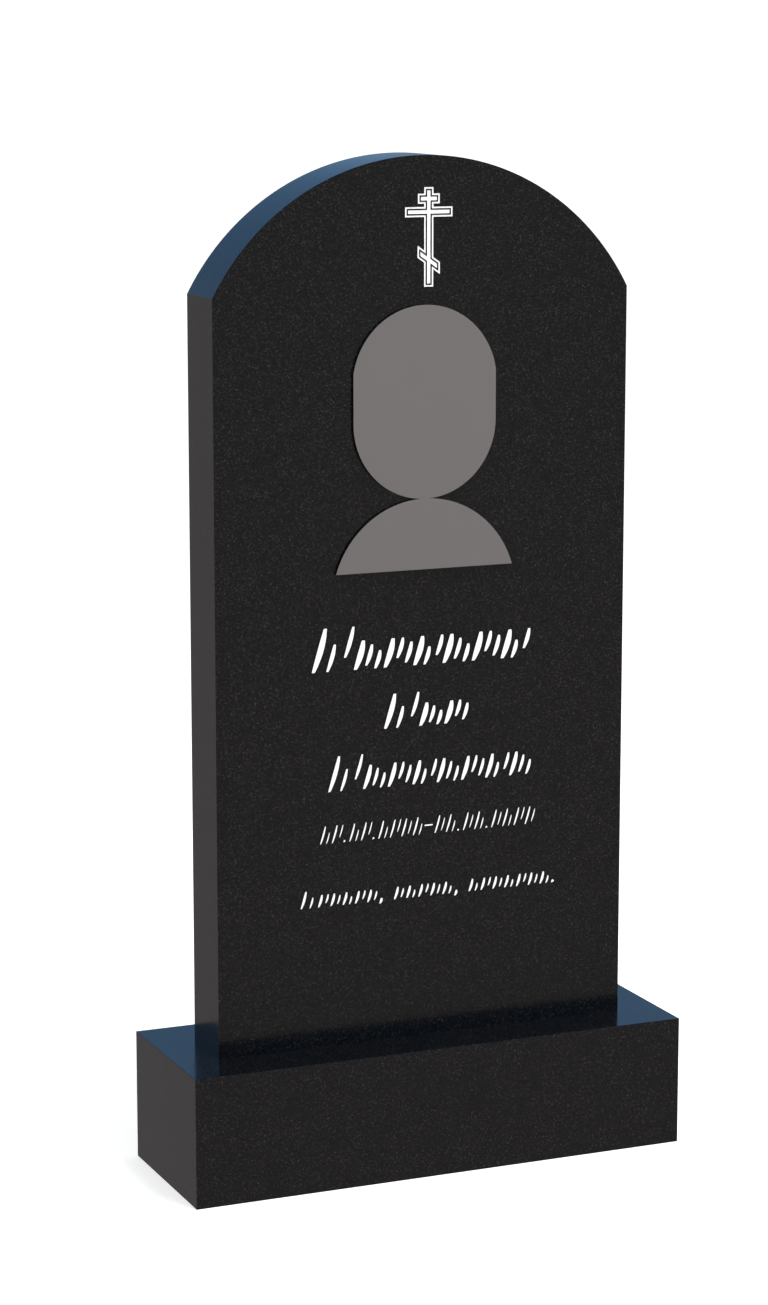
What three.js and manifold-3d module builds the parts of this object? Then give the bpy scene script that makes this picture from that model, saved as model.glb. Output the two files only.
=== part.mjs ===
// A family headstone: an arched stele of polished black stone standing on a plinth.
// It carries an outlined cross, a head-and-shoulders plate and rows of raised marks.
// Millimetres, +Z up. The origin is the centre of the plinth's underside and the front faces -Y.

import * as THREE from 'three';
import { mergeVertices } from 'three/addons/utils/BufferGeometryUtils.js';
import Module from 'manifold-3d';

const wasm = await Module();
wasm.setup();

// Plinth
const PLINTH_WIDTH = 600;
const PLINTH_DEPTH = 200;
const PLINTH_HEIGHT = 150;

// Stele
const STELE_WIDTH = 500;
const STELE_THICKNESS = 80;
const STELE_HEIGHT = 1000;
const ARCH_RISE = 150;
const ARCH_SEGMENTS = 56;

// Eased edge that the mason leaves on both stones
const ARRIS = 0.5;

// Cross: a solid core inside an open outline, both cut into the face
const CROSS_HEIGHT = 109;
const CROSS_SPAN = 57;
const CROSS_TITLE_SPAN = 26.2;
const CROSS_FOOTREST_SPAN = 27;
const CROSS_SPAN_DROP = 27;
const CROSS_TITLE_DROP = 12.5;
const CROSS_FOOTREST_RISE = 29.4;
const CROSS_FOOTREST_SLOPE = 0.685;
const CROSS_CORE_WIDTH = 4;
const CROSS_GAP_WIDTH = 1.7;
const CROSS_BORDER_WIDTH = 1.8;
const CROSS_DEPTH = 0.5;
const CROSS_SHIFT = 4.6;

// Portrait plate: a head above shoulders, joined by a narrow neck
const HEAD_WIDTH = 172.5;
const HEAD_HEIGHT = 215.8;
const SHOULDER_WIDTH = 215;
const SHOULDER_HEIGHT = 80;
const NECK_WIDTH = 13;
const CROWN_EXTRA_RADIUS = 1;
const PORTRAIT_THICKNESS = 4;
const PORTRAIT_SHIFT = -1;
const PORTRAIT_SEGMENTS = 16;

// Raised marks of the inscription
const MARK_RELIEF = 1.5;
const MARK_SLANT = 0.3;
const MARK_SEGMENTS = 4;

// Shape of a mark, as shares of its own line: its ends, its sideways bow and the thin strokes
const MARK_END = 0.5;
const MARK_BOW = 0.4;
const THIN_LINE = 0.7;

// How far along the row each kind of mark reaches, as shares of a low mark's reach
const MARK_REACH = { '|': 1.4, i: 1, '.': 0.5, ',': 0.5, '-': 0.9, ' ': 0.7 };

// Where the thin strokes start and stop, as shares of the mark's height, in turn along a row
const THIN_SPANS = [[0, 0.62], [0.3, 1], [0.12, 0.84]];

// Rows of marks from the top down. In a pattern, | is a tall mark, i a low one, . and , are dots,
// - is a dash and a blank is a space. Each mark is a stem with its row's number of thin strokes.
const ROWS = [
  { pattern: '|iiiiii', width: 272.5, tall: 49, low: 32.5, line: 7.4, thin: 2, shift: -2.5 },
  { pattern: '|ii', width: 109, tall: 39, low: 26, line: 6.5, thin: 2, shift: 3.2 },
  { pattern: '|iiiiiii', width: 257, tall: 40, low: 27, line: 5.35, thin: 2, shift: 9.6 },
  { pattern: 'ii.ii.iiii-ii.ii.iiii', width: 269, tall: 20, low: 20, line: 2.15, thin: 1, shift: 6.4 },
  { pattern: '|iiiii, iiiii, iiiiiii.', width: 319.5, tall: 19.5, low: 14, line: 3.2, thin: 1, shift: 7.5 },
];

// Free heights on the face, from the arch down to the foot: above the cross, above the portrait,
// above each row, and below the last row. They share out what the marks leave of the stele's height.
const GAP_ABOVE_CROSS = 35;
const GAP_ABOVE_PORTRAIT = 19.5;
const GAPS_ABOVE_ROWS = [59.7, 31, 27, 39, 53];
const GAP_ABOVE_FOOT = 163.4;

// How far a joined or cut solid reaches past the face, so that no two faces lie in one plane
const OVERRUN = 1;

// Each material has the colour and finish of the real surface
function polishedStone() {
  return new THREE.MeshStandardMaterial({ color: 0x252424, roughness: 0.12, metalness: 0 });
}

function portraitGrey() {
  return new THREE.MeshStandardMaterial({ color: 0x787473, roughness: 0.5, metalness: 0 });
}

// Stands an extrusion up: its outline's X and Y become X and Z, and its depth runs to the front, -Y
function standUp(geometry) {
  const upright = new THREE.Matrix4().makeBasis(
    new THREE.Vector3(1, 0, 0),
    new THREE.Vector3(0, 0, 1),
    new THREE.Vector3(0, -1, 0),
  );
  return geometry.applyMatrix4(upright);
}

// Extrudes an upright outline from one distance in front of the stone's middle plane to another
function extrudeBetween(outline, near, far, curveSegments) {
  const geometry = new THREE.ExtrudeGeometry(outline, {
    depth: far - near,
    bevelEnabled: false,
    curveSegments,
  });
  return standUp(geometry.translate(0, 0, near));
}

// Extrudes an outline to a depth, with eased edges at both ends inside that depth
function extrudeEased(outline, depth, curveSegments) {
  const geometry = new THREE.ExtrudeGeometry(outline, {
    depth: depth - 2 * ARRIS,
    bevelEnabled: true,
    bevelThickness: ARRIS,
    bevelSize: ARRIS,
    bevelOffset: -ARRIS,
    bevelSegments: 1,
    curveSegments,
  });
  return geometry.translate(0, 0, ARRIS);
}

// Turns a closed geometry into a solid that can be joined and cut
function toSolid(geometry) {
  geometry.deleteAttribute('normal');
  geometry.deleteAttribute('uv');
  const merged = mergeVertices(geometry);
  return new wasm.Manifold(new wasm.Mesh({
    numProp: 3,
    vertProperties: merged.attributes.position.array,
    triVerts: new Uint32Array(merged.index.array),
  }));
}

// Turns a solid back into a flat-shaded geometry
function toGeometry(solid) {
  const mesh = solid.getMesh();
  const indexed = new THREE.BufferGeometry();
  indexed.setAttribute('position', new THREE.BufferAttribute(mesh.vertProperties, 3));
  indexed.setIndex(new THREE.BufferAttribute(mesh.triVerts, 1));
  const geometry = indexed.toNonIndexed();
  geometry.computeVertexNormals();
  return geometry;
}

function joinAll(solids) {
  return solids.reduce((whole, solid) => whole.add(solid));
}

// Plinth: a block with every edge eased, the upright ones by cut corners of its outline
function plinthGeometry() {
  const x = PLINTH_WIDTH / 2;
  const y = PLINTH_DEPTH / 2;
  const outline = new THREE.Shape();
  outline.moveTo(-x + ARRIS, -y);
  outline.lineTo(x - ARRIS, -y);
  outline.lineTo(x, -y + ARRIS);
  outline.lineTo(x, y - ARRIS);
  outline.lineTo(x - ARRIS, y);
  outline.lineTo(-x + ARRIS, y);
  outline.lineTo(-x, y - ARRIS);
  outline.lineTo(-x, -y + ARRIS);
  outline.closePath();
  return extrudeEased(outline, PLINTH_HEIGHT, 1);
}

// The arch is the piece of a circle that spans the width and has the stated rise
function archRadius() {
  const halfSpan = STELE_WIDTH / 2;
  return (halfSpan * halfSpan + ARCH_RISE * ARCH_RISE) / (2 * ARCH_RISE);
}

function steleOutline() {
  const halfSpan = STELE_WIDTH / 2;
  const radius = archRadius();
  const centreHeight = STELE_HEIGHT - radius;
  const shoulderAngle = Math.asin((STELE_HEIGHT - ARCH_RISE - centreHeight) / radius);
  const outline = new THREE.Shape();
  outline.moveTo(-halfSpan, 0);
  outline.lineTo(halfSpan, 0);
  outline.lineTo(halfSpan, STELE_HEIGHT - ARCH_RISE);
  outline.absarc(0, centreHeight, radius, shoulderAngle, Math.PI - shoulderAngle, false);
  outline.closePath();
  return outline;
}

// Slab of the stele, from its back face forward to its front face
function slabSolid() {
  const geometry = extrudeEased(steleOutline(), STELE_THICKNESS, ARCH_SEGMENTS);
  geometry.translate(0, 0, -STELE_THICKNESS / 2);
  return toSolid(standUp(geometry));
}

// Layout of the face: what the marks leave of the height is shared out between them
function faceLayout() {
  const rowHeights = ROWS.map((row) => row.tall);
  const portraitHeight = HEAD_HEIGHT + SHOULDER_HEIGHT - neckOverlap();
  const marks = CROSS_HEIGHT + portraitHeight + rowHeights.reduce((sum, height) => sum + height);
  const rowGaps = GAPS_ABOVE_ROWS.reduce((sum, gap) => sum + gap);
  const gaps = GAP_ABOVE_CROSS + GAP_ABOVE_PORTRAIT + rowGaps + GAP_ABOVE_FOOT;
  const spread = (STELE_HEIGHT - marks) / gaps;
  const crossTop = STELE_HEIGHT - GAP_ABOVE_CROSS * spread;
  const portraitTop = crossTop - CROSS_HEIGHT - GAP_ABOVE_PORTRAIT * spread;
  const portraitFoot = portraitTop - portraitHeight;
  let height = portraitFoot;
  const baselines = rowHeights.map((rowHeight, index) => {
    height -= GAPS_ABOVE_ROWS[index] * spread + rowHeight;
    return height;
  });
  return { crossTop, portraitFoot, baselines };
}

// Cross: its bars are strips of one half-width around centre lines, level or falling to the right
function barSolid(left, right, height, slope, halfWidth, near, far) {
  const rise = slope * ((right - left) / 2 + halfWidth);
  const halfHeight = halfWidth * Math.hypot(1, slope);
  const outline = new THREE.Shape();
  outline.moveTo(left - halfWidth, height + rise - halfHeight);
  outline.lineTo(right + halfWidth, height - rise - halfHeight);
  outline.lineTo(right + halfWidth, height - rise + halfHeight);
  outline.lineTo(left - halfWidth, height + rise + halfHeight);
  outline.closePath();
  return toSolid(extrudeBetween(outline, near, far, 1));
}

function crossSolid(halfWidth, crossTop, near, far) {
  const edge = CROSS_CORE_WIDTH / 2 + CROSS_GAP_WIDTH + CROSS_BORDER_WIDTH;
  const top = crossTop - edge;
  const foot = crossTop - CROSS_HEIGHT + edge;
  const bar = (span, height, slope) => barSolid(
    CROSS_SHIFT - span / 2 + edge,
    CROSS_SHIFT + span / 2 - edge,
    height,
    slope,
    halfWidth,
    near,
    far,
  );
  const post = toSolid(extrudeBetween(rectangle(
    CROSS_SHIFT - halfWidth,
    foot - halfWidth,
    CROSS_SHIFT + halfWidth,
    top + halfWidth,
  ), near, far, 1));
  return joinAll([
    post,
    bar(CROSS_TITLE_SPAN, crossTop - CROSS_TITLE_DROP, 0),
    bar(CROSS_SPAN, crossTop - CROSS_SPAN_DROP, 0),
    bar(CROSS_FOOTREST_SPAN, crossTop - CROSS_HEIGHT + CROSS_FOOTREST_RISE, CROSS_FOOTREST_SLOPE),
  ]);
}

function rectangle(left, bottom, right, top) {
  const outline = new THREE.Shape();
  outline.moveTo(left, bottom);
  outline.lineTo(right, bottom);
  outline.lineTo(right, top);
  outline.lineTo(left, top);
  outline.closePath();
  return outline;
}

// Groove of the cross: the outline and the core are cut, and the stone between them stays
function crossGroove(crossTop) {
  const near = STELE_THICKNESS / 2 - CROSS_DEPTH;
  const far = STELE_THICKNESS / 2 + OVERRUN;
  const coreHalf = CROSS_CORE_WIDTH / 2;
  const islandHalf = coreHalf + CROSS_GAP_WIDTH;
  const edgeHalf = islandHalf + CROSS_BORDER_WIDTH;
  const border = crossSolid(edgeHalf, crossTop, near, far)
    .subtract(crossSolid(islandHalf, crossTop, near - OVERRUN, far + OVERRUN));
  return border.add(crossSolid(coreHalf, crossTop, near, far));
}

// Raised mark: a slanting stroke that is narrower at its ends than in the middle
function strokeSolid(foot, bottom, top, line) {
  const bow = line * MARK_BOW;
  const end = (line / 2) * MARK_END;
  const side = line - end;
  const middle = (bottom + top) / 2;
  const lean = MARK_SLANT * (top - bottom);
  const outline = new THREE.Shape();
  outline.moveTo(foot - end, bottom);
  outline.lineTo(foot + end, bottom);
  outline.quadraticCurveTo(foot + lean / 2 + side + bow, middle, foot + lean + end, top);
  outline.lineTo(foot + lean - end, top);
  outline.quadraticCurveTo(foot + lean / 2 - side + bow, middle, foot - end, bottom);
  return raised(outline);
}

// Raises an outline from the face, rooted a little way into the stone
function raised(outline) {
  const face = STELE_THICKNESS / 2;
  return toSolid(extrudeBetween(outline, face - OVERRUN, face + MARK_RELIEF, MARK_SEGMENTS));
}

// Stem and thin strokes of one mark whose stem stands at a place along its row
function stemStrokes(height, reach, index, row, place, baseline) {
  const stem = strokeSolid(place, baseline, baseline + height, row.line);
  const thin = Array.from({ length: row.thin }, (_, number) => {
    const [start, stop] = THIN_SPANS[(index * row.thin + number) % THIN_SPANS.length];
    const foot = place + (reach * (number + 1)) / (row.thin + 1) + MARK_SLANT * height * start;
    const bottom = baseline + height * start;
    return strokeSolid(foot, bottom, baseline + height * stop, row.line * THIN_LINE);
  });
  return [stem, ...thin];
}

// Level dash half way up a row's marks
function dashStroke(row, place, baseline) {
  const height = baseline + row.low / 2;
  const half = (row.line * THIN_LINE) / 2;
  return raised(rectangle(place, height - half, place + row.low / 2, height + half));
}

function markStrokes(kind, reach, index, row, place, baseline) {
  if (kind === ' ') return [];
  if (kind === '-') return [dashStroke(row, place, baseline)];
  if (kind === '.') return [strokeSolid(place, baseline, baseline + row.line, row.line)];
  if (kind === ',') return [strokeSolid(place, baseline - row.line, baseline + row.line, row.line)];
  return stemStrokes(kind === '|' ? row.tall : row.low, reach, index, row, place, baseline);
}

// Row of marks, set along its baseline from left to right to fill the row's width
function rowStrokes(row, baseline) {
  const kinds = [...row.pattern];
  const shares = kinds.map((kind) => MARK_REACH[kind]);
  const total = shares.reduce((sum, share) => sum + share) - 1 / (row.thin + 1);
  const unit = (row.width - row.line - MARK_SLANT * row.low) / total;
  let place = row.shift + (row.line - row.width) / 2;
  return kinds.flatMap((kind, index) => {
    const reach = shares[index] * unit;
    const strokes = markStrokes(kind, reach, index, row, place, baseline);
    place += reach;
    return strokes;
  });
}

// Stele: the slab with its raised marks joined on and the cross cut in
function steleGeometry(layout) {
  const strokes = ROWS.flatMap((row, index) => rowStrokes(row, layout.baselines[index]));
  const carved = joinAll([slabSolid(), ...strokes]).subtract(crossGroove(layout.crossTop));
  return toGeometry(carved);
}

// Portrait plate: the shoulders are a piece of a circle and the head is round above and below.
// The crown is a little flatter than the chin, so it meets the straight sides at a slight corner.
function shoulderRadius() {
  const halfWidth = SHOULDER_WIDTH / 2;
  return (halfWidth * halfWidth + SHOULDER_HEIGHT * SHOULDER_HEIGHT) / (2 * SHOULDER_HEIGHT);
}

// How far the head sinks into the shoulders to leave a neck of the stated width
function neckOverlap() {
  const sink = (radius) => radius - Math.sqrt(radius * radius - (NECK_WIDTH * NECK_WIDTH) / 4);
  return sink(HEAD_WIDTH / 2) + sink(shoulderRadius());
}

function shouldersOutline() {
  const radius = shoulderRadius();
  const centreHeight = SHOULDER_HEIGHT - radius;
  const endAngle = Math.asin(-centreHeight / radius);
  const outline = new THREE.Shape();
  outline.absarc(0, centreHeight, radius, endAngle, Math.PI - endAngle, false);
  outline.closePath();
  return outline;
}

function headOutline() {
  const chinRadius = HEAD_WIDTH / 2;
  const crownRadius = chinRadius + CROWN_EXTRA_RADIUS;
  const chinFoot = SHOULDER_HEIGHT - neckOverlap();
  const chinCentre = chinFoot + chinRadius;
  const crownCentre = chinFoot + HEAD_HEIGHT - crownRadius;
  const corner = Math.acos(chinRadius / crownRadius);
  const outline = new THREE.Shape();
  outline.absarc(0, crownCentre, crownRadius, corner, Math.PI - corner, false);
  outline.absarc(0, chinCentre, chinRadius, Math.PI, 2 * Math.PI, false);
  outline.closePath();
  return outline;
}

function portraitGeometry() {
  const plate = (outline) => toSolid(extrudeBetween(outline, 0, PORTRAIT_THICKNESS, PORTRAIT_SEGMENTS));
  return toGeometry(plate(headOutline()).add(plate(shouldersOutline())));
}

function piece(name, geometry, material) {
  const mesh = new THREE.Mesh(geometry, material);
  mesh.name = name;
  return mesh;
}

// The stele stands on the plinth, and the portrait plate lies on the stele's face
function headstone() {
  const layout = faceLayout();
  const portrait = piece('portrait_plate', portraitGeometry(), portraitGrey());
  portrait.position.set(PORTRAIT_SHIFT, -STELE_THICKNESS / 2, layout.portraitFoot);
  const upright = new THREE.Group();
  upright.position.set(0, 0, PLINTH_HEIGHT);
  upright.add(piece('stele', steleGeometry(layout), polishedStone()), portrait);
  const whole = new THREE.Group();
  whole.name = 'headstone';
  whole.add(piece('plinth', plinthGeometry(), polishedStone()), upright);
  return whole;
}

export default headstone();
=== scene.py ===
import math

import bmesh
import bpy
from bpy.props import FloatProperty, FloatVectorProperty, PointerProperty
from bpy.types import Operator, Panel, PropertyGroup
from mathutils import Matrix, Vector


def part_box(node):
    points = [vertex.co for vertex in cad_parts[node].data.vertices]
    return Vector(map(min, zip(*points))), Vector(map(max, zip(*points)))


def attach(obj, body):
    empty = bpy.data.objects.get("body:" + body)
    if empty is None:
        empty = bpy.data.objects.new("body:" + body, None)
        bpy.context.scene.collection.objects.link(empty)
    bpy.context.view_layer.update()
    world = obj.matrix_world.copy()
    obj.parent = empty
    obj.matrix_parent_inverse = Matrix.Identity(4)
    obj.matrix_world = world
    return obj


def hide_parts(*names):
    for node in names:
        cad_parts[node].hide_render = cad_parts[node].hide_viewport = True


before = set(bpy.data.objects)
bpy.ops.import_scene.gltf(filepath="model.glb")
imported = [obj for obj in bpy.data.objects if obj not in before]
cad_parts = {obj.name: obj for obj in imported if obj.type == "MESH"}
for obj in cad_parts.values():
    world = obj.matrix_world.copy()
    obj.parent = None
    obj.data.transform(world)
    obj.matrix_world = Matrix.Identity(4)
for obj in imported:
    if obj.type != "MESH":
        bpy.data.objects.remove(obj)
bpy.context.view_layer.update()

bl_info = {
    "name": "Arched Headstone",
    "version": (1, 0, 0),
    "blender": (4, 5, 0),
    "location": "3D View > Sidebar > Headstone",
    "description": "Dresses an arched headstone in polished black stone with painted relief",
    "category": "Add Mesh",
}

# The frame gives each piece's size and place, in metres
PLINTH_LOW, PLINTH_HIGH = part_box("plinth")
STELE_LOW, STELE_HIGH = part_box("stele")
PORTRAIT_LOW, PORTRAIT_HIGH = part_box("portrait_plate")

# The portrait plate lies on the stele's face, and the raised marks stand out to the stele's front
FACE = PORTRAIT_HIGH.y
RELIEF = FACE - STELE_LOW.y
STELE_HEIGHT = STELE_HIGH.z - STELE_LOW.z
STELE_MIDDLE = (STELE_LOW.x + STELE_HIGH.x) / 2
PORTRAIT_MIDDLE = (PORTRAIT_LOW.x + PORTRAIT_HIGH.x) / 2

# The arch is a piece of a circle
ARCH_RISE = 0.15

# Cross: a solid core inside an open outline, cut into the face
CROSS_HEIGHT = 0.109
CROSS_SPAN = 0.057
CROSS_TITLE_SPAN = 0.0262
CROSS_FOOTREST_SPAN = 0.027
CROSS_SPAN_DROP = 0.027
CROSS_TITLE_DROP = 0.0125
CROSS_FOOTREST_RISE = 0.0294
CROSS_FOOTREST_SLOPE = 0.685
CROSS_CORE_WIDTH = 0.004
CROSS_GAP_WIDTH = 0.0017
CROSS_BORDER_WIDTH = 0.0018
CROSS_DEPTH = 0.0005
CROSS_SHIFT = 0.0046
CROSS_EDGE = CROSS_CORE_WIDTH / 2 + CROSS_GAP_WIDTH + CROSS_BORDER_WIDTH

# Portrait plate
HEAD_WIDTH = 0.1725
SHOULDER_HEIGHT = 0.08
NECK_WIDTH = 0.013
CROWN_EXTRA_RADIUS = 0.001
ROUND_POINTS = 512

# Raised marks: their slant, and their shape as shares of their own line
MARK_SLANT = 0.3
MARK_END = 0.5
MARK_BOW = 0.4
MARK_STATIONS = 10
THIN_LINE = 0.7

# How far along the row each kind of mark reaches, as shares of a low mark's reach
MARK_REACH = {"|": 1.4, "i": 1, ".": 0.5, ",": 0.5, "-": 0.9, " ": 0.7}

# Where the thin strokes start and stop, as shares of the mark's height, in turn along a row
THIN_SPANS = [(0, 0.62), (0.3, 1), (0.12, 0.84)]

# Rows of marks from the top down. In a pattern, | is a tall mark, i a low one, . and , are dots,
# - is a dash and a blank is a space. Each mark is a stem with its row's number of thin strokes.
ROWS = [
    dict(pattern="|iiiiii", width=0.2725, tall=0.049, low=0.0325, line=0.0074, thin=2,
         shift=-0.0025),
    dict(pattern="|ii", width=0.109, tall=0.039, low=0.026, line=0.0065, thin=2, shift=0.0032),
    dict(pattern="|iiiiiii", width=0.257, tall=0.04, low=0.027, line=0.00535, thin=2,
         shift=0.0096),
    dict(pattern="ii.ii.iiii-ii.ii.iiii", width=0.269, tall=0.02, low=0.02, line=0.00215, thin=1,
         shift=0.0064),
    dict(pattern="|iiiii, iiiii, iiiiiii.", width=0.3195, tall=0.0195, low=0.014, line=0.0032,
         thin=1, shift=0.0075),
]

# Free heights on the face, from the arch down to the foot
GAP_ABOVE_CROSS = 0.035
GAP_ABOVE_PORTRAIT = 0.0195
GAPS_ABOVE_ROWS = [0.0597, 0.031, 0.027, 0.039, 0.053]
GAP_ABOVE_FOOT = 0.1634

# How far a joined or cut piece reaches past the face, how near counts as the same place, and how
# near to each other points are merged
OVERRUN = 0.001
NEAR = 0.00001
MERGE_REACH = OVERRUN / 10

# A raised mark's thickness with the part inside the slab, and the middle of that thickness
MARK_THICKNESS = RELIEF + OVERRUN
MARK_CENTRE = FACE + (OVERRUN - RELIEF) / 2

# Steps in the rounding of the slabs' edges and of the front edges of the marks and the plate
ARRIS_STEPS = 3
RIM_STEPS = 2

# Angles between faces: to count as one flat face, to be shaded smooth, and to be a sharp edge
FLAT_ANGLE = math.radians(0.2)
SMOOTH_ANGLE = math.radians(12)
SHARP_ANGLE = math.radians(40)

# Material slots of the stele
STONE_SLOT = 0
PAINT_SLOT = 1
# Slot of the marks' sides, whose near-black colour is partly painted shade
BLACK_SIDE_SHADE_SLOT = 2

# Camera of the photograph: its place, its turn to the right and down, and its focal length
PHOTO_HEIGHT = 1305
PHOTO_FOCAL = 3392.5
CAMERA_PLACE = (-1.5145, -3.4745, 1.2887)
CAMERA_TURN = math.radians(23.107)
CAMERA_DOWN = math.radians(10.462)
CAMERA_REACH = 3000
SENSOR = 36

# Large soft light: its width, its place and the point that it is aimed at
LIGHT_SIZE = 2.2
LIGHT_PLACE = (1.2, -2.0, 4.8)
LIGHT_AIM = (0, 0, 0.6)

# The floor reaches so far that its edge lies at the horizon
FLOOR_SIZE = 2000

# What the polish mirrors: ground on the viewer's side and beyond the stone, and the sky from the
# horizon up. Heights are the upward part of a direction of length 1.
NEAR_GROUND = (0.33, 0.31, 0.312)
FAR_GROUND = (0.284, 0.267, 0.274)
HORIZON_SKY = (0.25, 0.315, 0.395)
LOW_SKY = (0.195, 0.36, 0.585)
HIGH_SKY = (0.12, 0.283, 0.53)
LOW_SKY_HEIGHT = 0.17
HIGH_SKY_HEIGHT = 0.4
HORIZON_BLUR = 0.005
GROUND_BLUR = 0.6

# The camera sees the room a little brighter than white
WHITE = (1, 1, 1)
SEEN_STRENGTH = 1.2

# Places of the colour sockets on Blender's Mix node
MIX_FIRST = 6
MIX_SECOND = 7
MIX_RESULT = 2


class StoneSettings(PropertyGroup):
    """Stone of the plinth and the stele"""
    arris: FloatProperty(
        name="Arris", description="Width of the eased edge",
        default=0.0005, min=0.0002, max=0.005, unit="LENGTH")
    ground: FloatVectorProperty(
        name="Ground", description="Colour of the stone between its grains",
        default=(0.0008, 0.0007, 0.0007), size=3, subtype="COLOR", min=0, max=1)
    grain: FloatVectorProperty(
        name="Grain", description="Colour of the fine curled grains",
        default=(0.0176, 0.0155, 0.0151), size=3, subtype="COLOR", min=0, max=1)
    cool_grain: FloatVectorProperty(
        name="Cool grain", description="Colour of the grains with a cool cast",
        default=(0.0146, 0.0153, 0.0151), size=3, subtype="COLOR", min=0, max=1)
    crystal: FloatVectorProperty(
        name="Crystal", description="Colour of the few bright crystals",
        default=(0.031, 0.0285, 0.0235), size=3, subtype="COLOR", min=0, max=1)
    polish: FloatProperty(
        name="Roughness", description="Roughness of the polished faces",
        default=0.16, min=0, max=1, subtype="FACTOR")


class CarvingSettings(PropertyGroup):
    """Painted relief of the stele"""
    rim: FloatProperty(
        name="Rim", description="Rounding of the raised marks' front edges",
        default=0.00025, min=0.00005, max=0.0005, unit="LENGTH")
    paint: FloatVectorProperty(
        name="Paint", description="Colour of the paint on the marks and in the cross",
        default=(0.8, 0.795, 0.785), size=3, subtype="COLOR", min=0, max=1)


class PortraitSettings(PropertyGroup):
    """Portrait plate"""
    rim: FloatProperty(
        name="Rim", description="Rounding of the plate's front edge",
        default=0.0003, min=0.00005, max=0.001, unit="LENGTH")
    face: FloatVectorProperty(
        name="Face", description="Colour of the plate's front",
        default=(0.1161, 0.1058, 0.1022), size=3, subtype="COLOR", min=0, max=1)
    # Near-black colour of the plate's rim and the marks' sides: partly their own black, partly
    # painted shade for the dark line beside them
    edge: FloatVectorProperty(
        name="Edge", description="Colour of the plate's rim",
        default=(0.0008, 0.0008, 0.0009), size=3, subtype="COLOR", min=0, max=1)


class StageSettings(PropertyGroup):
    """Floor and light"""
    floor: FloatVectorProperty(
        name="Floor", description="Colour of the floor",
        default=(0.7, 0.7, 0.7), size=3, subtype="COLOR", min=0, max=1)
    glow: FloatProperty(
        name="Glow", description="Light that the floor gives off itself, as a light table does",
        default=0.55, min=0, max=10)
    room: FloatProperty(
        name="Room", description="Strength of the soft light from all round, at the floor's level",
        default=0.3, min=0, max=10)
    ceiling: FloatProperty(
        name="Ceiling", description="How much stronger the soft light is from straight above",
        default=0.7, min=0, max=10)
    key: FloatProperty(
        name="Key", description="Power of the large soft light above the front",
        default=265, min=0, max=5000, unit="POWER")


class Number:
    """Number in a material: +, - and * add the Math nodes that they stand for"""

    def __init__(self, recipe, socket):
        self.recipe = recipe
        self.socket = socket

    def math(self, operation, *values):
        node = self.recipe.node("ShaderNodeMath", {"operation": operation}, *values)
        return Number(self.recipe, node.outputs[0])

    def __add__(self, other):
        return self.math("ADD", self, other)

    def __radd__(self, other):
        return self.math("ADD", other, self)

    def __sub__(self, other):
        return self.math("SUBTRACT", self, other)

    def __rsub__(self, other):
        return self.math("SUBTRACT", other, self)

    def __mul__(self, other):
        return self.math("MULTIPLY", self, other)

    def __rmul__(self, other):
        return self.math("MULTIPLY", other, self)

    def size(self):
        """The number without its sign"""
        return self.math("ABSOLUTE", self)

    def rise(self, low, high):
        """0 below low, 1 above high and smooth between them"""
        settings = {"interpolation_type": "SMOOTHSTEP"}
        node = self.recipe.node("ShaderNodeMapRange", settings, self, low, high)
        return Number(self.recipe, node.outputs[0])


class Recipe:
    """Nodes of one material or world"""

    def __init__(self, tree):
        self.tree = tree
        tree.nodes.clear()

    def node(self, kind, settings=None, *values, **named):
        node = self.tree.nodes.new(kind)
        for name, value in (settings or {}).items():
            setattr(node, name, value)
        for index, value in enumerate(values):
            self.feed(node.inputs[index], value)
        for name, value in named.items():
            self.feed(node.inputs[name.replace("_", " ")], value)
        return node

    def feed(self, socket, value):
        if isinstance(value, Number):
            value = value.socket
        if isinstance(value, bpy.types.NodeSocket):
            self.tree.links.new(value, socket)
        elif value is not None:
            socket.default_value = value

    def number(self, socket):
        return Number(self, socket)

    def place(self):
        """Point of the surface in the object's own metres"""
        return self.node("ShaderNodeTexCoord").outputs["Object"]

    def noise(self, point, scale, detail, distortion=0):
        node = self.node("ShaderNodeTexNoise", None, Vector=point, Scale=scale, Detail=detail,
                         Distortion=distortion)
        return self.number(node.outputs["Fac"])

    def cells(self, point, scale):
        """Distance to the nearest of scattered points, and a random number of its cell"""
        node = self.node("ShaderNodeTexVoronoi", None, Vector=point, Scale=scale)
        parts = self.node("ShaderNodeSeparateColor", None, node.outputs["Color"])
        return self.number(node.outputs["Distance"]), self.number(parts.outputs[0])

    def blend(self, amount, first, second):
        node = self.node("ShaderNodeMix", {"data_type": "RGBA"}, Factor=amount)
        self.feed(node.inputs[MIX_FIRST], first)
        self.feed(node.inputs[MIX_SECOND], second)
        return node.outputs[MIX_RESULT]

    def finish(self, shader):
        self.node("ShaderNodeOutputMaterial", None, shader)


def opaque(colour, factor=1):
    """Colour, made lighter or darker by a factor, with nothing seen through it"""
    return (*(channel * factor for channel in colour), 1.0)


def new_material(name):
    material = bpy.data.materials.new(name)
    material.use_nodes = True
    return material, Recipe(material.node_tree)


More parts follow.
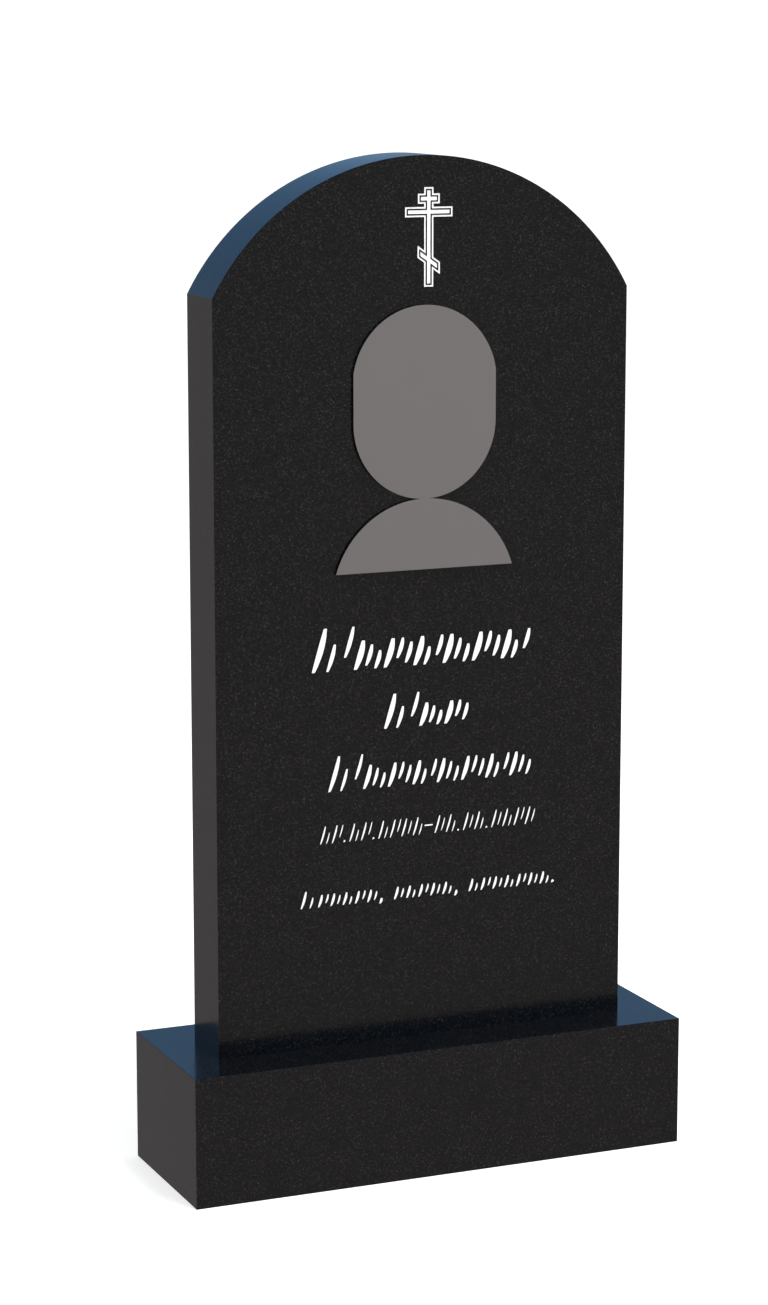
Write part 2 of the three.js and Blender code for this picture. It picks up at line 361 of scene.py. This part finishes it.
def polished_stone(settings):
    """Near-black stone with fine curled grains, polished to a mirror"""
    material, recipe = new_material("polished_black_stone")
    point = recipe.place()
    patches = recipe.noise(point, scale=55, detail=3)
    curl = recipe.noise(point, scale=320, detail=0, distortion=0.9)
    thread = (1 - (curl * 2 - 1).size() * 5.5).rise(0, 1)
    broken = recipe.noise(point, scale=400, detail=1).rise(0.38, 0.64)
    speckle = recipe.noise(point, scale=580, detail=0).rise(0.46, 0.8)
    grain = ((thread * broken + speckle * 0.55) * (patches + 0.5)).rise(0.08, 1)
    distance, chance = recipe.cells(point, scale=260)
    crystal = (1 - distance.rise(0.08, 0.3)) * chance.rise(0.9, 0.97)
    cast = recipe.noise(point, scale=160, detail=1).rise(0.52, 0.7)
    grains = recipe.blend(cast, opaque(settings.grain), opaque(settings.cool_grain))
    colour = recipe.blend(grain, opaque(settings.ground), grains)
    colour = recipe.blend(crystal, colour, opaque(settings.crystal))
    roughness = settings.polish + grain * 0.03 + patches * 0.01
    waves = recipe.noise(point, scale=30, detail=1)
    bump = recipe.node("ShaderNodeBump", None, Strength=0.02, Distance=0.0004, Height=waves)
    shader = recipe.node("ShaderNodeBsdfPrincipled", None, Base_Color=colour, Roughness=roughness,
                         IOR=1.5, Normal=bump.outputs[0])
    recipe.finish(shader.outputs[0])
    return material


def white_paint(settings):
    """Satin white paint, a little uneven over the stone"""
    material, recipe = new_material("white_paint")
    point = recipe.place()
    uneven = recipe.noise(point, scale=180, detail=3)
    thin, full = opaque(settings.paint, 0.93), opaque(settings.paint)
    colour = recipe.blend(uneven.rise(0.3, 0.7), thin, full)
    stipple = recipe.noise(point, scale=1400, detail=2)
    bump = recipe.node("ShaderNodeBump", None, Strength=0.15, Distance=0.0001, Height=stipple)
    shader = recipe.node("ShaderNodeBsdfPrincipled", None, Base_Color=colour,
                         Roughness=0.42 + uneven * 0.1, IOR=1.45, Normal=bump.outputs[0])
    recipe.finish(shader.outputs[0])
    return material


def plate_face(settings):
    """Even grey front of the portrait plate, with a fine matt tooth"""
    material, recipe = new_material("portrait_grey")
    point = recipe.place()
    tooth = recipe.noise(point, scale=900, detail=3)
    cloud = recipe.noise(point, scale=18, detail=2)
    low, high = opaque(settings.face, 0.97), opaque(settings.face, 1.03)
    colour = recipe.blend(tooth * 0.7 + cloud * 0.3, low, high)
    bump = recipe.node("ShaderNodeBump", None, Strength=0.08, Distance=0.0001, Height=tooth)
    shader = recipe.node("ShaderNodeBsdfPrincipled", None, Base_Color=colour,
                         Roughness=0.5 + tooth * 0.08, IOR=1.45, Normal=bump.outputs[0])
    recipe.finish(shader.outputs[0])
    return material


def dark_edge(settings):
    """Black edge of the portrait plate and sides of the raised marks; their near-black colour is
    partly painted shade
    """
    material, recipe = new_material("dark_edge")
    smudge = recipe.noise(recipe.place(), scale=300, detail=2)
    colour = recipe.blend(smudge, opaque(settings.edge), opaque(settings.edge, 2))
    shader = recipe.node("ShaderNodeBsdfPrincipled", None, Base_Color=colour,
                         Roughness=0.2 + smudge * 0.1, IOR=1.4)
    recipe.finish(shader.outputs[0])
    return material


def floor_paint(settings):
    """Plain pale floor, lit a little from within"""
    material, recipe = new_material("pale_floor")
    shader = recipe.node("ShaderNodeBsdfPrincipled", None, Base_Color=opaque(settings.floor),
                         Roughness=0.9, Emission_Color=opaque(WHITE),
                         Emission_Strength=settings.glow)
    recipe.finish(shader.outputs[0])
    return material


def select_only(piece):
    bpy.ops.object.select_all(action="DESELECT")
    piece.select_set(True)
    bpy.context.view_layer.objects.active = piece


def settle(piece, name=None):
    """Puts a piece's place into its mesh, so that its object sits at the origin"""
    select_only(piece)
    bpy.ops.object.transform_apply(location=True, rotation=True, scale=True)
    if name:
        piece.name = name
        piece.data.name = name
    return piece


def open_mesh(piece, kind, action="DESELECT"):
    """Starts editing a piece in VERT, EDGE or FACE mode, with nothing selected or with all"""
    select_only(piece)
    bpy.ops.object.mode_set(mode="EDIT")
    bpy.ops.mesh.select_mode(type=kind)
    bpy.ops.mesh.select_all(action=action)


def close_mesh():
    bpy.ops.object.mode_set(mode="OBJECT")


def join(pieces):
    """Makes one object of several meshes, without cutting them where they cross"""
    bpy.ops.object.select_all(action="DESELECT")
    for piece in pieces:
        piece.select_set(True)
    bpy.context.view_layer.objects.active = pieces[0]
    bpy.ops.object.join()
    return pieces[0]


def pick(piece, kind, wanted):
    """Selects the vertices, edges or faces that are wanted"""
    shape = bmesh.from_edit_mesh(piece.data)
    for part in getattr(shape, kind):
        if wanted(part):
            part.select_set(True)
    shape.select_flush_mode()
    bmesh.update_edit_mesh(piece.data)


def pull(distance):
    """Extrudes what is selected"""
    bpy.ops.mesh.extrude_region_move(TRANSFORM_OT_translate={"value": distance})


def level(edge, height):
    return all(abs(vertex.co.z - height) < NEAR for vertex in edge.verts)


def on_front(edge, depth):
    """Whether an edge lies in the front plane at a depth"""
    return all(vertex.co.y < depth + NEAR for vertex in edge.verts)


def faces_front(face):
    return face.normal.y < -0.5


def thicken(piece, distance):
    """Extrudes a flat piece backwards into a solid that points outwards"""
    open_mesh(piece, "FACE", "SELECT")
    pull((0, distance, 0))
    bpy.ops.mesh.select_all(action="SELECT")
    bpy.ops.mesh.normals_make_consistent(inside=False)
    close_mesh()


def merge_flats(piece):
    """Merges neighbouring faces that lie in one plane"""
    open_mesh(piece, "FACE", "SELECT")
    bpy.ops.mesh.dissolve_limited(angle_limit=FLAT_ANGLE)
    close_mesh()


def round_edges(piece, width, steps, wanted):
    """Rounds the sharp edges that are wanted"""
    open_mesh(piece, "EDGE")
    pick(piece, "edges", lambda edge: edge.calc_face_angle(0) > SHARP_ANGLE and wanted(edge))
    bpy.ops.mesh.bevel(offset=width, segments=steps, affect="EDGES")
    close_mesh()


def shade(piece):
    """Smooth along round stretches, and crisp where flat faces meet"""
    select_only(piece)
    bpy.ops.object.shade_smooth_by_angle(angle=SMOOTH_ANGLE)


def cover(piece, *materials):
    piece.data.materials.clear()
    for material in materials:
        piece.data.materials.append(material)


def combine(piece, other, operation):
    """Joins another solid to a piece or cuts it out, and removes the other"""
    modifier = piece.modifiers.new(operation.title(), "BOOLEAN")
    modifier.operation = operation
    modifier.solver = "EXACT"
    modifier.object = other
    select_only(piece)
    bpy.ops.object.modifier_apply(modifier=modifier.name)
    bpy.data.objects.remove(other)
    return piece


def arc_radius(span, rise):
    """Radius of an arc that rises so high over a level span"""
    half = span / 2
    return (half * half + rise * rise) / (2 * rise)


def round_face(radius, centre, cut, keep_above):
    """Upright face of the part of a disc above or below a level cut"""
    bpy.ops.mesh.primitive_circle_add(
        vertices=ROUND_POINTS, radius=radius, fill_type="NGON", location=centre,
        rotation=(math.pi / 2, 0, 0))
    piece = settle(bpy.context.object)
    open_mesh(piece, "VERT", "SELECT")
    bpy.ops.mesh.bisect(plane_co=(0, 0, cut), plane_no=(0, 0, 1),
                        clear_inner=keep_above, clear_outer=not keep_above)
    close_mesh()
    # The turn leaves rounding errors, and solids join well only where their fronts lie in one plane
    for vertex in piece.data.vertices:
        vertex.co.y = centre[1]
    return piece


def pull_foot(piece, height, distance):
    """Draws a face's level lower edge further down"""
    open_mesh(piece, "EDGE")
    pick(piece, "edges", lambda edge: level(edge, height))
    pull((0, 0, -distance))
    bpy.ops.mesh.select_all(action="DESELECT")
    pick(piece, "edges", lambda edge: level(edge, height) and len(edge.link_faces) == 2)
    bpy.ops.mesh.dissolve_edges(use_verts=False)
    close_mesh()


def face_layout():
    """Heights of the cross's top and of each row's baseline, as the free height is shared out"""
    portrait = PORTRAIT_HIGH.z - PORTRAIT_LOW.z
    marks = CROSS_HEIGHT + portrait + sum(row["tall"] for row in ROWS)
    gaps = GAP_ABOVE_CROSS + GAP_ABOVE_PORTRAIT + sum(GAPS_ABOVE_ROWS) + GAP_ABOVE_FOOT
    spread = (STELE_HEIGHT - marks) / gaps
    cross_top = STELE_HIGH.z - GAP_ABOVE_CROSS * spread
    height = PORTRAIT_LOW.z
    baselines = []
    for row, gap in zip(ROWS, GAPS_ABOVE_ROWS):
        height -= gap * spread + row["tall"]
        baselines.append(height)
    return cross_top, baselines


def unit_stroke():
    """Stroke one line wide and one high, narrower at its ends and bowed to one side"""
    bpy.ops.mesh.primitive_cube_add(size=1, location=(0, 0, 0.5))
    piece = settle(bpy.context.object, "unit_stroke")
    open_mesh(piece, "VERT")
    for station in range(1, MARK_STATIONS):
        bpy.ops.mesh.select_all(action="SELECT")
        bpy.ops.mesh.bisect(plane_co=(0, 0, station / MARK_STATIONS), plane_no=(0, 0, 1))
    close_mesh()
    for vertex in piece.data.vertices:
        share = vertex.co.z
        middle = 2 * share * (1 - share)
        width = MARK_END * (1 - middle) + (2 - MARK_END) * middle
        vertex.co.x = vertex.co.x * width + MARK_BOW * middle
    return piece


def stroke_copy(unit, foot, bottom, top, line):
    """Copy of the unit stroke, set in its row and leaning with it"""
    piece = unit.copy()
    piece.data = unit.data.copy()
    bpy.context.collection.objects.link(piece)
    height = top - bottom
    piece.data.transform(Matrix((
        (line, 0, MARK_SLANT * height, foot),
        (0, MARK_THICKNESS, 0, MARK_CENTRE),
        (0, 0, height, bottom),
        (0, 0, 0, 1),
    )))
    return piece


def dash(length, height, foot, middle):
    """Level bar half way up a row's marks"""
    bpy.ops.mesh.primitive_cube_add(
        size=1, location=(foot + length / 2, MARK_CENTRE, middle),
        scale=(length, MARK_THICKNESS, height))
    return settle(bpy.context.object)


def mark_strokes(unit, kind, reach, index, row, place, baseline):
    """Strokes of one mark of a row, from its place along the row to its reach"""
    line = row["line"]
    if kind == " ":
        return []
    if kind == "-":
        return [dash(row["low"] / 2, line * THIN_LINE, place, baseline + row["low"] / 2)]
    if kind == ".":
        return [stroke_copy(unit, place, baseline, baseline + line, line)]
    if kind == ",":
        return [stroke_copy(unit, place, baseline - line, baseline + line, line)]
    height = row["tall"] if kind == "|" else row["low"]
    strokes = [stroke_copy(unit, place, baseline, baseline + height, line)]
    for number in range(row["thin"]):
        start, stop = THIN_SPANS[(index * row["thin"] + number) % len(THIN_SPANS)]
        foot = place + reach * (number + 1) / (row["thin"] + 1) + MARK_SLANT * height * start
        bottom = baseline + height * start
        top = baseline + height * stop
        strokes.append(stroke_copy(unit, foot, bottom, top, line * THIN_LINE))
    return strokes


def row_strokes(unit, row, baseline):
    """Strokes of a row, set along its baseline from left to right to fill the row's width"""
    shares = [MARK_REACH[kind] for kind in row["pattern"]]
    total = sum(shares) - 1 / (row["thin"] + 1)
    step = (row["width"] - row["line"] - MARK_SLANT * row["low"]) / total
    place = row["shift"] + (row["line"] - row["width"]) / 2
    strokes = []
    for index, (kind, share) in enumerate(zip(row["pattern"], shares)):
        strokes += mark_strokes(unit, kind, share * step, index, row, place, baseline)
        place += share * step
    return strokes


def inscription(baselines, rim):
    """All raised marks as one piece, with their front edges rounded"""
    unit = unit_stroke()
    strokes = []
    for row, baseline in zip(ROWS, baselines):
        strokes += row_strokes(unit, row, baseline)
    bpy.data.objects.remove(unit)
    piece = join(strokes)
    merge_flats(piece)
    round_edges(piece, rim, RIM_STEPS, lambda edge: on_front(edge, FACE - RELIEF))
    return piece


def bar(width, height, middle, slope=0):
    """Bar of the cross, level or sloping down to the right between upright ends"""
    bpy.ops.mesh.primitive_cube_add(
        size=1, location=(CROSS_SHIFT, FACE - OVERRUN, middle), scale=(width, OVERRUN, height))
    piece = settle(bpy.context.object)
    for side in (1, -1):
        open_mesh(piece, "VERT")
        pick(piece, "verts", lambda vertex: side * (vertex.co.x - CROSS_SHIFT) > 0)
        bpy.ops.transform.translate(value=(0, 0, -side * slope * width / 2))
        close_mesh()
    return piece


def cross_face(top):
    """Front face of the whole cross, out to its outer edge"""
    foot = top - CROSS_HEIGHT
    width = 2 * CROSS_EDGE
    piece = bar(width, CROSS_HEIGHT, (foot + top) / 2)
    combine(piece, bar(CROSS_SPAN, width, top - CROSS_SPAN_DROP), "UNION")
    combine(piece, bar(CROSS_TITLE_SPAN, width, top - CROSS_TITLE_DROP), "UNION")
    footrest = bar(CROSS_FOOTREST_SPAN, width * math.hypot(1, CROSS_FOOTREST_SLOPE),
                   foot + CROSS_FOOTREST_RISE, CROSS_FOOTREST_SLOPE)
    combine(piece, footrest, "UNION")
    merge_flats(piece)
    open_mesh(piece, "FACE")
    pick(piece, "faces", lambda face: not faces_front(face))
    bpy.ops.mesh.delete(type="FACE")
    close_mesh()
    return piece


def cross_cutter(top):
    """Tool that cuts the cross: its border and its core, with the stone between them left out"""
    piece = cross_face(top)
    open_mesh(piece, "FACE", "SELECT")
    bpy.ops.mesh.inset(thickness=CROSS_BORDER_WIDTH)
    bpy.ops.mesh.hide(unselected=True)
    bpy.ops.mesh.inset(thickness=CROSS_GAP_WIDTH)
    bpy.ops.mesh.select_all(action="INVERT")
    bpy.ops.mesh.delete(type="FACE")
    bpy.ops.mesh.reveal()
    close_mesh()
    # The bars' fronts stand one and a half overruns before the face
    thicken(piece, CROSS_DEPTH + 1.5 * OVERRUN)
    return settle(piece, "cross_cutter")


def slab(arris):
    """Arched slab with eased edges, but for the foot, which meets the plinth without a dark seam"""
    radius = arc_radius(STELE_HIGH.x - STELE_LOW.x, ARCH_RISE)
    shoulder = STELE_HIGH.z - ARCH_RISE
    piece = round_face(radius, (STELE_MIDDLE, FACE, STELE_HIGH.z - radius), shoulder, True)
    pull_foot(piece, shoulder, shoulder - STELE_LOW.z)
    thicken(piece, STELE_HIGH.y - FACE)
    round_edges(piece, arris, ARRIS_STEPS, lambda edge: not level(edge, STELE_LOW.z))
    return settle(piece, "stele_slab")


def in_cross(place, top):
    """Whether a place on the face lies within the height and width of the cross"""
    half = CROSS_SPAN / 2 + NEAR
    beside = abs(place.x - CROSS_SHIFT) < half
    return beside and top - CROSS_HEIGHT - NEAR < place.z < top + NEAR


def paint_stele(piece, cross_top, rim):
    """Paints the fronts of the raised marks and the cut cross white, and gives the marks' sides the
    near-black edge colour, partly painted shade
    """
    for face in piece.data.polygons:
        place = face.center
        if place.y < FACE - RELIEF + rim:
            face.material_index = PAINT_SLOT
        elif place.y < FACE - NEAR:
            # The marks' sides: black stone made blacker still, as painted shade for their dark
            # outlines
            face.material_index = BLACK_SIDE_SHADE_SLOT
        elif FACE + NEAR < place.y < FACE + CROSS_DEPTH + NEAR and in_cross(place, cross_top):
            face.material_index = PAINT_SLOT
        else:
            face.material_index = STONE_SLOT


def stand_for(piece, node):
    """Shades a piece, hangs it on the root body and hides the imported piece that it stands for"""
    shade(piece)
    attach(piece, "root")
    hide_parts(node)


def shoulder_radius():
    return arc_radius(PORTRAIT_HIGH.x - PORTRAIT_LOW.x, SHOULDER_HEIGHT)


class HEADSTONE_OT_plinth(Operator):
    """Make the plinth: a polished block with eased edges"""
    bl_idname = "headstone.plinth"
    bl_label = "Plinth"

    def execute(self, context):
        stone = context.scene.headstone_stone
        bpy.ops.mesh.primitive_cube_add(
            size=1, location=(PLINTH_LOW + PLINTH_HIGH) / 2, scale=PLINTH_HIGH - PLINTH_LOW)
        piece = settle(bpy.context.object, "plinth_block")
        round_edges(piece, stone.arris, ARRIS_STEPS, lambda edge: True)
        cover(piece, polished_stone(stone))
        stand_for(piece, "plinth")
        return {"FINISHED"}


class HEADSTONE_OT_stele(Operator):
    """Make the stele: an arched slab with raised marks and a cut cross, both painted white"""
    bl_idname = "headstone.stele"
    bl_label = "Stele"

    def execute(self, context):
        scene = context.scene
        carving = scene.headstone_carving
        cross_top, baselines = face_layout()
        piece = slab(scene.headstone_stone.arris)
        combine(piece, inscription(baselines, carving.rim), "UNION")
        combine(piece, cross_cutter(cross_top), "DIFFERENCE")
        cover(piece, polished_stone(scene.headstone_stone), white_paint(carving),
              dark_edge(scene.headstone_portrait))
        paint_stele(piece, cross_top, carving.rim)
        stand_for(piece, "stele")
        return {"FINISHED"}


class HEADSTONE_OT_portrait(Operator):
    """Make the portrait plate: a head above shoulders, grey in front with a black edge"""
    bl_idname = "headstone.portrait"
    bl_label = "Portrait plate"

    def execute(self, context):
        settings = context.scene.headstone_portrait
        piece = combine(self.head(), self.shoulders(), "UNION")
        settle(piece, "portrait_face")
        merge_flats(piece)
        round_edges(piece, settings.rim, RIM_STEPS,
                    lambda edge: on_front(edge, PORTRAIT_LOW.y))
        cover(piece, plate_face(settings), dark_edge(settings))
        # The plate's sides take the near-black edge colour, which is partly painted shade for the
        # dark line along its rim
        for face in piece.data.polygons:
            face.material_index = 0 if faces_front(face) else 1
        stand_for(piece, "portrait_plate")
        return {"FINISHED"}

    def shoulders(self):
        """Piece of a circle that stands on the plate's lower edge"""
        radius = shoulder_radius()
        centre = (PORTRAIT_MIDDLE, PORTRAIT_LOW.y, PORTRAIT_LOW.z + SHOULDER_HEIGHT - radius)
        piece = round_face(radius, centre, PORTRAIT_LOW.z, True)
        thicken(piece, PORTRAIT_HIGH.y - PORTRAIT_LOW.y)
        return piece

    def head(self):
        """Crown and chin, joined by straight sides"""
        chin_radius = HEAD_WIDTH / 2
        crown_radius = chin_radius + CROWN_EXTRA_RADIUS
        sink = sum(radius - math.sqrt(radius * radius - NECK_WIDTH * NECK_WIDTH / 4)
                   for radius in (chin_radius, shoulder_radius()))
        chin_height = PORTRAIT_LOW.z + SHOULDER_HEIGHT - sink + chin_radius
        crown_height = PORTRAIT_HIGH.z - crown_radius
        corner = crown_height + math.sqrt(crown_radius * crown_radius - chin_radius * chin_radius)
        centre = (PORTRAIT_MIDDLE, PORTRAIT_LOW.y, crown_height)
        crown = round_face(crown_radius, centre, corner, True)
        pull_foot(crown, corner, corner - chin_height)
        centre = (PORTRAIT_MIDDLE, PORTRAIT_LOW.y, chin_height)
        chin = round_face(chin_radius, centre, chin_height, False)
        join([crown, chin])
        open_mesh(crown, "EDGE", "SELECT")
        bpy.ops.mesh.remove_doubles(threshold=MERGE_REACH)
        bpy.ops.mesh.select_all(action="DESELECT")
        pick(crown, "edges", lambda edge: len(edge.link_faces) == 2)
        bpy.ops.mesh.dissolve_edges(use_verts=False)
        close_mesh()
        thicken(crown, PORTRAIT_HIGH.y - PORTRAIT_LOW.y)
        return crown


class HEADSTONE_OT_stage(Operator):
    """Make the pale floor, the soft lights, the sky that the polish mirrors, and the camera"""
    bl_idname = "headstone.stage"
    bl_label = "Stage"

    def execute(self, context):
        settings = context.scene.headstone_stage
        context.scene.view_settings.view_transform = "Standard"
        self.floor(settings)
        self.world(context.scene, settings)
        self.light(settings.key)
        self.camera(context.scene)
        return {"FINISHED"}

    def floor(self, settings):
        bpy.ops.mesh.primitive_plane_add(size=FLOOR_SIZE, location=(0, 0, PLINTH_LOW.z))
        piece = settle(bpy.context.object, "floor")
        cover(piece, floor_paint(settings))
        piece.visible_glossy = False

    def light(self, power):
        """Soft disc of light above the front, which the polish doesn't mirror"""
        bpy.ops.object.light_add(type="AREA", location=LIGHT_PLACE)
        lamp = bpy.context.object
        lamp.name = "key_light"
        lamp.data.shape = "DISK"
        lamp.data.size = LIGHT_SIZE
        lamp.data.energy = power
        aim = Vector(LIGHT_AIM) - lamp.location
        lamp.rotation_euler = aim.to_track_quat("-Z", "Y").to_euler()
        lamp.visible_glossy = False

    def world(self, scene, settings):
        """Pale room for light and camera; the polish mirrors a grey ground and a blue sky"""
        world = bpy.data.worlds.new("soft_room")
        world.use_nodes = True
        scene.world = world
        recipe = Recipe(world.node_tree)
        direction = recipe.node("ShaderNodeTexCoord").outputs["Generated"]
        axes = recipe.node("ShaderNodeSeparateXYZ", None, direction)
        forward = recipe.number(axes.outputs[1])
        height = recipe.number(axes.outputs[2])
        ground = recipe.blend(forward.rise(-GROUND_BLUR, GROUND_BLUR), opaque(NEAR_GROUND),
                              opaque(FAR_GROUND))
        low_sky = recipe.blend(height.rise(0, LOW_SKY_HEIGHT), opaque(HORIZON_SKY), opaque(LOW_SKY))
        sky = recipe.blend(height.rise(LOW_SKY_HEIGHT, HIGH_SKY_HEIGHT), low_sky, opaque(HIGH_SKY))
        mirrored = recipe.blend(height.rise(-HORIZON_BLUR, HORIZON_BLUR), ground, sky)
        mirror = recipe.node("ShaderNodeBackground", None, Color=mirrored, Strength=1.0)
        above = height.rise(0, 1) * settings.ceiling + settings.room
        room = recipe.node("ShaderNodeBackground", None, Color=opaque(WHITE), Strength=above)
        path = recipe.node("ShaderNodeLightPath")
        shader = recipe.node("ShaderNodeMixShader", None, path.outputs["Is Glossy Ray"],
                             room.outputs[0], mirror.outputs[0])
        seen = recipe.node("ShaderNodeBackground", None, Color=opaque(WHITE),
                           Strength=SEEN_STRENGTH)
        shader = recipe.node("ShaderNodeMixShader", None, path.outputs["Is Camera Ray"],
                             shader.outputs[0], seen.outputs[0])
        recipe.node("ShaderNodeOutputWorld", None, shader.outputs[0])

    def camera(self, scene):
        bpy.ops.object.camera_add(
            location=CAMERA_PLACE, rotation=(math.pi / 2 - CAMERA_DOWN, 0, -CAMERA_TURN))
        camera = bpy.context.object
        camera.data.sensor_width = SENSOR
        camera.data.lens = PHOTO_FOCAL / PHOTO_HEIGHT * SENSOR
        camera.data.clip_end = CAMERA_REACH
        scene.camera = camera


class HEADSTONE_PT_sidebar(Panel):
    """Headstone tools in the 3D view's sidebar"""
    bl_label = "Headstone"
    bl_idname = "HEADSTONE_PT_sidebar"
    bl_space_type = "VIEW_3D"
    bl_region_type = "UI"
    bl_category = "Headstone"

    def draw(self, context):
        for group in SETTINGS:
            box = self.layout.box()
            for name in SETTINGS[group].__annotations__:
                box.prop(getattr(context.scene, group), name)
        for operator in OPERATORS:
            self.layout.operator(operator.bl_idname)


SETTINGS = {
    "headstone_stone": StoneSettings,
    "headstone_carving": CarvingSettings,
    "headstone_portrait": PortraitSettings,
    "headstone_stage": StageSettings,
}
OPERATORS = [
    HEADSTONE_OT_plinth,
    HEADSTONE_OT_stele,
    HEADSTONE_OT_portrait,
    HEADSTONE_OT_stage,
]


def register():
    for name, group in SETTINGS.items():
        bpy.utils.register_class(group)
        setattr(bpy.types.Scene, name, PointerProperty(type=group))
    for operator in OPERATORS:
        bpy.utils.register_class(operator)
    bpy.utils.register_class(HEADSTONE_PT_sidebar)


def unregister():
    bpy.utils.unregister_class(HEADSTONE_PT_sidebar)
    for operator in reversed(OPERATORS):
        bpy.utils.unregister_class(operator)
    for name, group in SETTINGS.items():
        delattr(bpy.types.Scene, name)
        bpy.utils.unregister_class(group)


def main():
    register()
    bpy.ops.headstone.plinth()
    bpy.ops.headstone.stele()
    bpy.ops.headstone.portrait()
    bpy.ops.headstone.stage()


if __name__ == "__main__":
    main()
